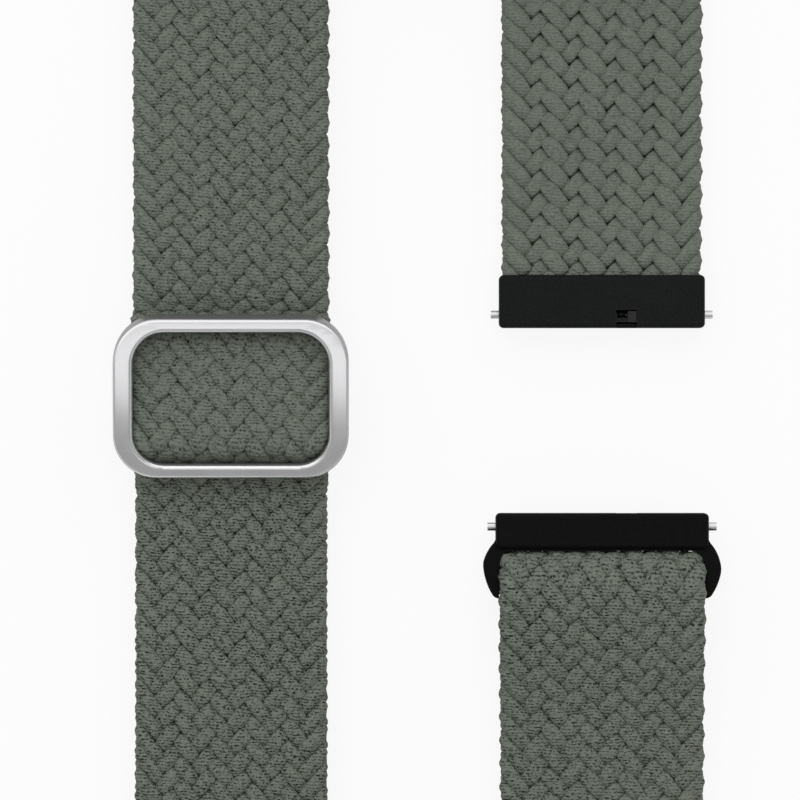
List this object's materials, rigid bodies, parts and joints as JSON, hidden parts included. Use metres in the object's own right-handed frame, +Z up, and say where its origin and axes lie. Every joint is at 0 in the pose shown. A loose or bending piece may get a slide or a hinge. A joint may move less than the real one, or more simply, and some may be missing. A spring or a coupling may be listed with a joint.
{
  "type": "braided elastic watch strap",
  "caption": "Flat-braided elastic watch strap with a sliding metal buckle frame, a glued end connector, a loop-through connector and quick-release spring bars.",
  "frame": {"origin": "on the table in the middle of the loop's footprint", "axes": "+Y along the straight sides, from the loop connector's side towards the glued connector's side; +X from the slider's side towards the connectors' side; +Z up from the table"},
  "size_m": [0.0564, 0.1295, 0.0187],
  "materials": {
    "band_yarn": "knitted elastic yarn, grey-green",
    "sewing_thread": "polyester thread",
    "slider_metal": "satin",
    "slider_bar_steel": "satin",
    "connector_black": "fine matt black",
    "spring_bar_steel": "drawn steel",
    "coil_spring_steel": "spring wire"
  },
  "bodies": {
    "band": {"band_fixed_run": "band_yarn", "band_flex_zone": "band_yarn", "band_top_turn": "band_yarn", "band_upper_run": "band_yarn", "band_upper_slide_zone": "band_yarn", "band_lower_slide_zone": "band_yarn", "band_lower_run": "band_yarn", "band_bottom_turn": "band_yarn", "band_loop_outer_run": "band_yarn", "band_loop_fold": "band_yarn", "band_loop_return_run": "band_yarn", "band_bottom_return_turn": "band_yarn", "band_return_run": "band_yarn", "band_return_slide_zone": "band_yarn"},
    "slider": {"slider_frame": "slider_metal", "slider_centre_bar": "slider_bar_steel", "band_slider_hump": "band_yarn", "band_bar_fold": "band_yarn", "tail_stitching": "sewing_thread"},
    "fixed_connector": {"fixed_connector": "connector_black", "band_fixed_end": "band_yarn", "fixed_bar_tube": "spring_bar_steel", "fixed_bar_fixed_tip": "spring_bar_steel", "fixed_bar_spring": "coil_spring_steel"},
    "fixed_release": {"fixed_bar_sliding_tip": "spring_bar_steel", "fixed_bar_release_lever": "spring_bar_steel"},
    "loop_connector": {"loop_connector": "connector_black", "loop_bar_tube": "spring_bar_steel", "loop_bar_fixed_tip": "spring_bar_steel", "loop_bar_spring": "coil_spring_steel"},
    "loop_release": {"loop_bar_sliding_tip": "spring_bar_steel", "loop_bar_release_lever": "spring_bar_steel"}
  },
  "joints": [
    {"name": "slider_slide", "type": "slide", "parent": "band", "child": "slider", "axis": [0, 1, 0], "range_m": [-0.012, 0.012], "deforming": ["band_upper_slide_zone", "band_lower_slide_zone", "band_return_slide_zone"]},
    {"name": "fixed_connector_flex", "type": "hinge", "parent": "band", "child": "fixed_connector", "pos_m": [0.01725, 0.0147, 0.0018], "axis": [1, 0, 0], "range_deg": [-40, 40], "deforming": ["band_flex_zone"]},
    {"name": "fixed_bar_release", "type": "slide", "parent": "fixed_connector", "child": "fixed_release", "axis": [-1, 0, 0], "range_m": [0, 0.00105], "stiffness_N_per_m": 500, "springref_m": -0.002, "deforming": ["fixed_bar_spring"]},
    {"name": "loop_connector_swing", "type": "hinge", "parent": "band", "child": "loop_connector", "pos_m": [0.01725, -0.0172, 0.0031], "axis": [1, 0, 0], "range_deg": [-60, 60]},
    {"name": "loop_bar_release", "type": "slide", "parent": "loop_connector", "child": "loop_release", "axis": [-1, 0, 0], "range_m": [0, 0.00105], "stiffness_N_per_m": 500, "springref_m": -0.002, "deforming": ["loop_bar_spring"]}
  ]
}
